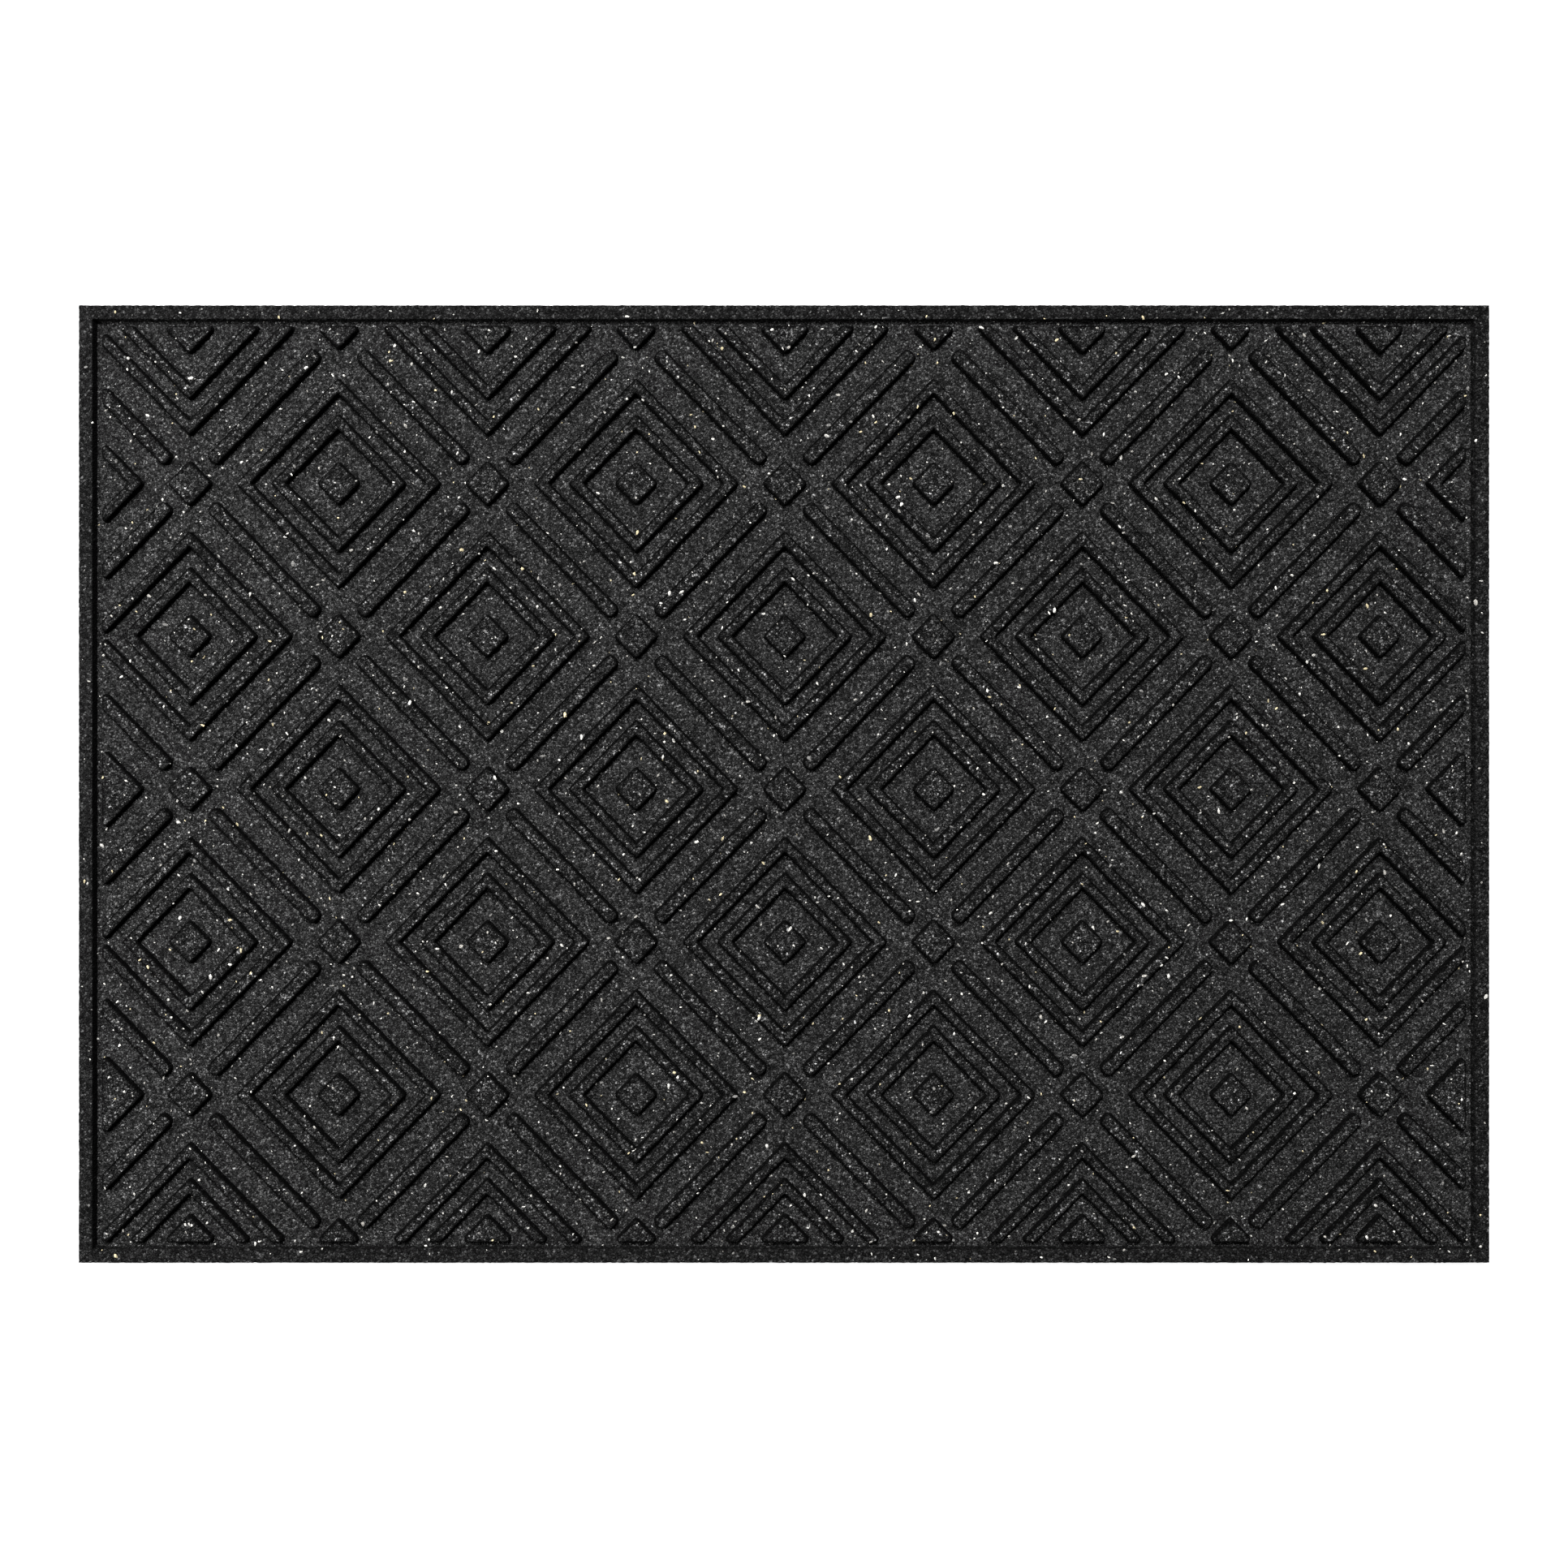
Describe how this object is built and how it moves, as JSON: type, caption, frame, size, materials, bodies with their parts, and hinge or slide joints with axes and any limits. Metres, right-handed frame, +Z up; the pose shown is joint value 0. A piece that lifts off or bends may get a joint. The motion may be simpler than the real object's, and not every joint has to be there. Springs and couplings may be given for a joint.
{
  "type": "moulded rubber door mat",
  "caption": "Rectangular door mat in dark rubber crumb: flat sheet, raised rim and a raised diagonal lattice of diamond rings, bars and blocks.",
  "frame": {"origin": "centre of the underside, on the floor plane", "axes": "+X along the long side, +Y towards the back edge, +Z up out of the relief"},
  "size_m": [0.9, 0.611, 0.008],
  "materials": {
    "sheet_rubber": "matt bonded crumb, charcoal with sparse light flecks",
    "relief_rubber": "matt coarse bonded crumb, charcoal with sparse light flecks",
    "rim_rubber": "matt coarse bonded crumb, charcoal with sparse light flecks"
  },
  "bodies": {
    "root": {"base_sheet": "sheet_rubber", "rim_front": "rim_rubber", "rim_right": "rim_rubber", "rim_back": "rim_rubber", "rim_left": "rim_rubber", "outer_rings_row_1": "relief_rubber", "inner_rings_row_1": "relief_rubber", "centre_blocks_row_1": "relief_rubber", "junction_blocks_row_1": "relief_rubber", "outer_rings_row_2": "relief_rubber", "inner_rings_row_2": "relief_rubber", "centre_blocks_row_2": "relief_rubber", "junction_blocks_row_2": "relief_rubber", "side_blocks_row_2": "relief_rubber", "outer_rings_row_3": "relief_rubber", "inner_rings_row_3": "relief_rubber", "centre_blocks_row_3": "relief_rubber", "junction_blocks_row_3": "relief_rubber", "outer_rings_row_4": "relief_rubber", "inner_rings_row_4": "relief_rubber", "centre_blocks_row_4": "relief_rubber", "junction_blocks_row_4": "relief_rubber", "side_blocks_row_4": "relief_rubber", "outer_rings_row_5": "relief_rubber", "inner_rings_row_5": "relief_rubber", "centre_blocks_row_5": "relief_rubber", "junction_blocks_row_5": "relief_rubber", "outer_rings_row_6": "relief_rubber", "inner_rings_row_6": "relief_rubber", "centre_blocks_row_6": "relief_rubber", "junction_blocks_row_6": "relief_rubber", "outer_rings_row_7": "relief_rubber", "inner_rings_row_7": "relief_rubber", "centre_blocks_row_7": "relief_rubber", "junction_blocks_row_7": "relief_rubber", "rising_bars_band_1": "relief_rubber", "falling_bars_band_1": "relief_rubber", "rising_bars_band_2": "relief_rubber", "falling_bars_band_2": "relief_rubber", "rising_bars_band_3": "relief_rubber", "falling_bars_band_3": "relief_rubber", "rising_bars_band_4": "relief_rubber", "falling_bars_band_4": "relief_rubber", "rising_bars_band_5": "relief_rubber", "falling_bars_band_5": "relief_rubber", "rising_bars_band_6": "relief_rubber", "falling_bars_band_6": "relief_rubber"}
  },
  "joints": []
}
